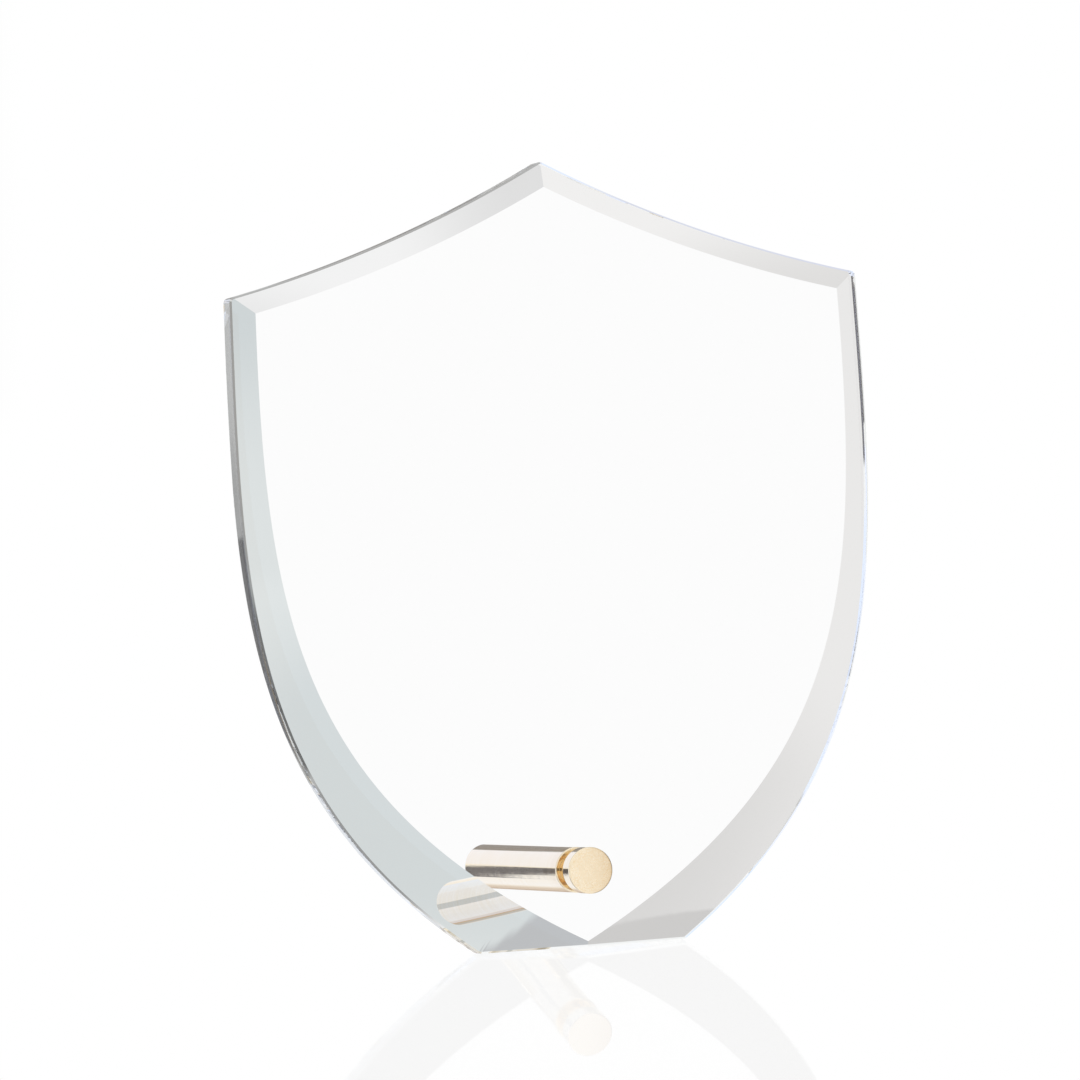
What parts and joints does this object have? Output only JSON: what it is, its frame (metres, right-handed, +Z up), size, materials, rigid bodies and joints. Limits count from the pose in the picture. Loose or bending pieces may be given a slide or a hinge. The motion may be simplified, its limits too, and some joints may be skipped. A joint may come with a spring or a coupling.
{
  "type": "award shield plaque",
  "caption": "Clear bevelled glass shield that leans back on a round gold pin through its foot, a blank table award.",
  "frame": {"origin": "on the table, under the middle of the object's box", "axes": "+Z up, +X to the right as the reader faces the front of the shield, +Y from the reader to the rear along the support rod. The shield leans back about 10.4 degrees"},
  "size_m": [0.1748, 0.0902, 0.2034],
  "materials": {
    "glass": "polished",
    "satin_gold": "satin, gold plated",
    "polished_gold": "polished, gold plated"
  },
  "bodies": {
    "root": {"glass_shield": "glass", "pin_cap": "satin_gold", "support_rod": "polished_gold"}
  },
  "joints": []
}
